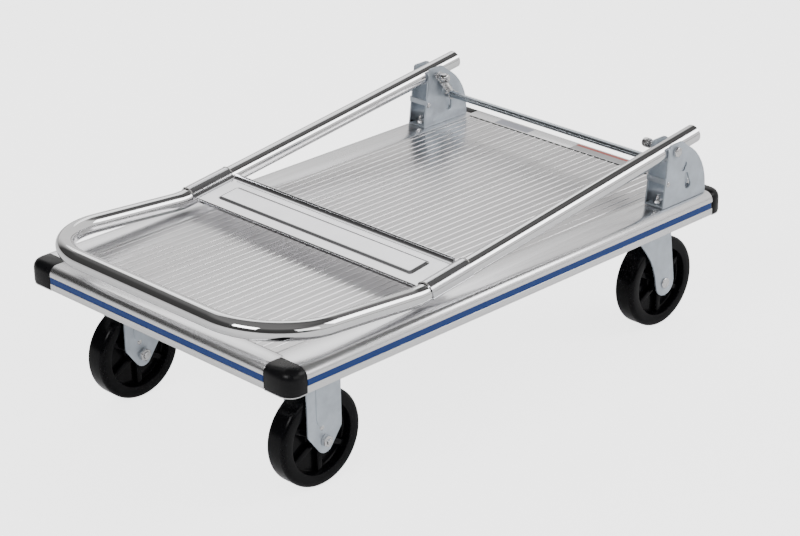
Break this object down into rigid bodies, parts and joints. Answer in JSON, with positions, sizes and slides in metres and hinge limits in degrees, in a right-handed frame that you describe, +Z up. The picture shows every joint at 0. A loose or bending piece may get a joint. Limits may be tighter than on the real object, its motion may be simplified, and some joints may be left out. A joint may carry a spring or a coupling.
{
  "type": "folding platform cart",
  "caption": "Low platform cart with a ribbed aluminium deck, a tubular handle that folds flat on the deck, fixed front casters and swivel rear casters.",
  "frame": {"origin": "centre of the bounding box on the floor under the cart, handle folded", "axes": "+Z up; +Y along the deck towards the hinge brackets and the swivel casters; X across the deck"},
  "size_m": [0.5, 0.8295, 0.3012],
  "materials": {
    "deck_aluminium": "anodised, ribbed",
    "rail_aluminium": "satin anodised",
    "blue_trim": "satin",
    "black_plastic": "satin moulded",
    "zinc_sheet": "bright zinc plated sheet steel",
    "zinc_fastener": "zinc plated",
    "chrome_tube": "polished chrome",
    "plated_sheet": "satin chrome plated sheet",
    "spring_steel": "plated spring wire",
    "wheel_black": "glossy moulded black"
  },
  "bodies": {
    "deck": {"axle_front_left": "zinc_fastener", "axle_front_right": "zinc_fastener", "axle_nut_front_left": "zinc_fastener", "axle_nut_front_right": "zinc_fastener", "bracket_bolt_left_front": "zinc_fastener", "bracket_bolt_left_rear": "zinc_fastener", "bracket_bolt_right_front": "zinc_fastener", "bracket_bolt_right_rear": "zinc_fastener", "corner_cap_front_left": "black_plastic", "corner_cap_front_right": "black_plastic", "corner_cap_rear_left": "black_plastic", "corner_cap_rear_right": "black_plastic", "cross_member_front": "rail_aluminium", "cross_member_rear": "rail_aluminium", "deck_plank_1": "deck_aluminium", "deck_plank_2": "deck_aluminium", "deck_plank_3": "deck_aluminium", "deck_plank_4": "deck_aluminium", "end_rail_front": "rail_aluminium", "end_rail_rear": "rail_aluminium", "hinge_bracket_left": "zinc_sheet", "hinge_bracket_right": "zinc_sheet", "king_bolt_left": "zinc_fastener", "king_bolt_right": "zinc_fastener", "pivot_bolt_left": "zinc_fastener", "pivot_bolt_right": "zinc_fastener", "pivot_nut_left": "zinc_fastener", "pivot_nut_right": "zinc_fastener", "rigid_fork_left": "zinc_sheet", "rigid_fork_right": "zinc_sheet", "side_rail_left": "rail_aluminium", "side_rail_right": "rail_aluminium", "stop_bar_left": "zinc_sheet", "stop_bar_right": "zinc_sheet", "swivel_plate_left": "zinc_sheet", "swivel_plate_right": "zinc_sheet", "trim_front": "blue_trim", "trim_left": "blue_trim", "trim_rear": "blue_trim", "trim_right": "blue_trim"},
    "handle": {"handle_tube": "chrome_tube", "cross_plate": "plated_sheet"},
    "latch": {"latch_rod": "zinc_sheet", "return_spring_left": "spring_steel", "return_spring_right": "spring_steel"},
    "swivel_left": {"swivel_fork_left": "zinc_sheet", "axle_rear_left": "zinc_fastener", "axle_nut_rear_left": "zinc_fastener"},
    "swivel_right": {"swivel_fork_right": "zinc_sheet", "axle_rear_right": "zinc_fastener", "axle_nut_rear_right": "zinc_fastener"},
    "wheel_body_front_left": {"wheel_front_left": "wheel_black"},
    "wheel_body_front_right": {"wheel_front_right": "wheel_black"},
    "wheel_body_rear_left": {"wheel_rear_left": "wheel_black"},
    "wheel_body_rear_right": {"wheel_rear_right": "wheel_black"}
  },
  "joints": [
    {"name": "handle_fold", "type": "hinge", "parent": "deck", "child": "handle", "pos_m": [0, 0.31075, 0.282], "axis": [-1, 0, 0], "range_deg": [0, 104.7]},
    {"name": "latch_slide", "type": "slide", "parent": "deck", "child": "latch", "axis": [0, 0, -1], "range_m": [0, 0.02], "stiffness_N_per_m": 400, "springref_m": -0.02, "deforming": ["return_spring_left", "return_spring_right"]},
    {"name": "swivel_turn_left", "type": "hinge", "parent": "deck", "child": "swivel_left", "pos_m": [-0.1745, 0.31175, 0.16], "axis": [0, 0, 1], "continuous": true},
    {"name": "swivel_turn_right", "type": "hinge", "parent": "deck", "child": "swivel_right", "pos_m": [0.1745, 0.31175, 0.16], "axis": [0, 0, 1], "continuous": true},
    {"name": "wheel_spin_front_left", "type": "hinge", "parent": "deck", "child": "wheel_body_front_left", "pos_m": [-0.1745, -0.29275, 0.065], "axis": [1, 0, 0], "continuous": true},
    {"name": "wheel_spin_rear_left", "type": "hinge", "parent": "swivel_left", "child": "wheel_body_rear_left", "pos_m": [-0.1745, 0.34975, 0.065], "axis": [1, 0, 0], "continuous": true},
    {"name": "wheel_spin_front_right", "type": "hinge", "parent": "deck", "child": "wheel_body_front_right", "pos_m": [0.1745, -0.29275, 0.065], "axis": [1, 0, 0], "continuous": true},
    {"name": "wheel_spin_rear_right", "type": "hinge", "parent": "swivel_right", "child": "wheel_body_rear_right", "pos_m": [0.1745, 0.34975, 0.065], "axis": [1, 0, 0], "continuous": true}
  ]
}
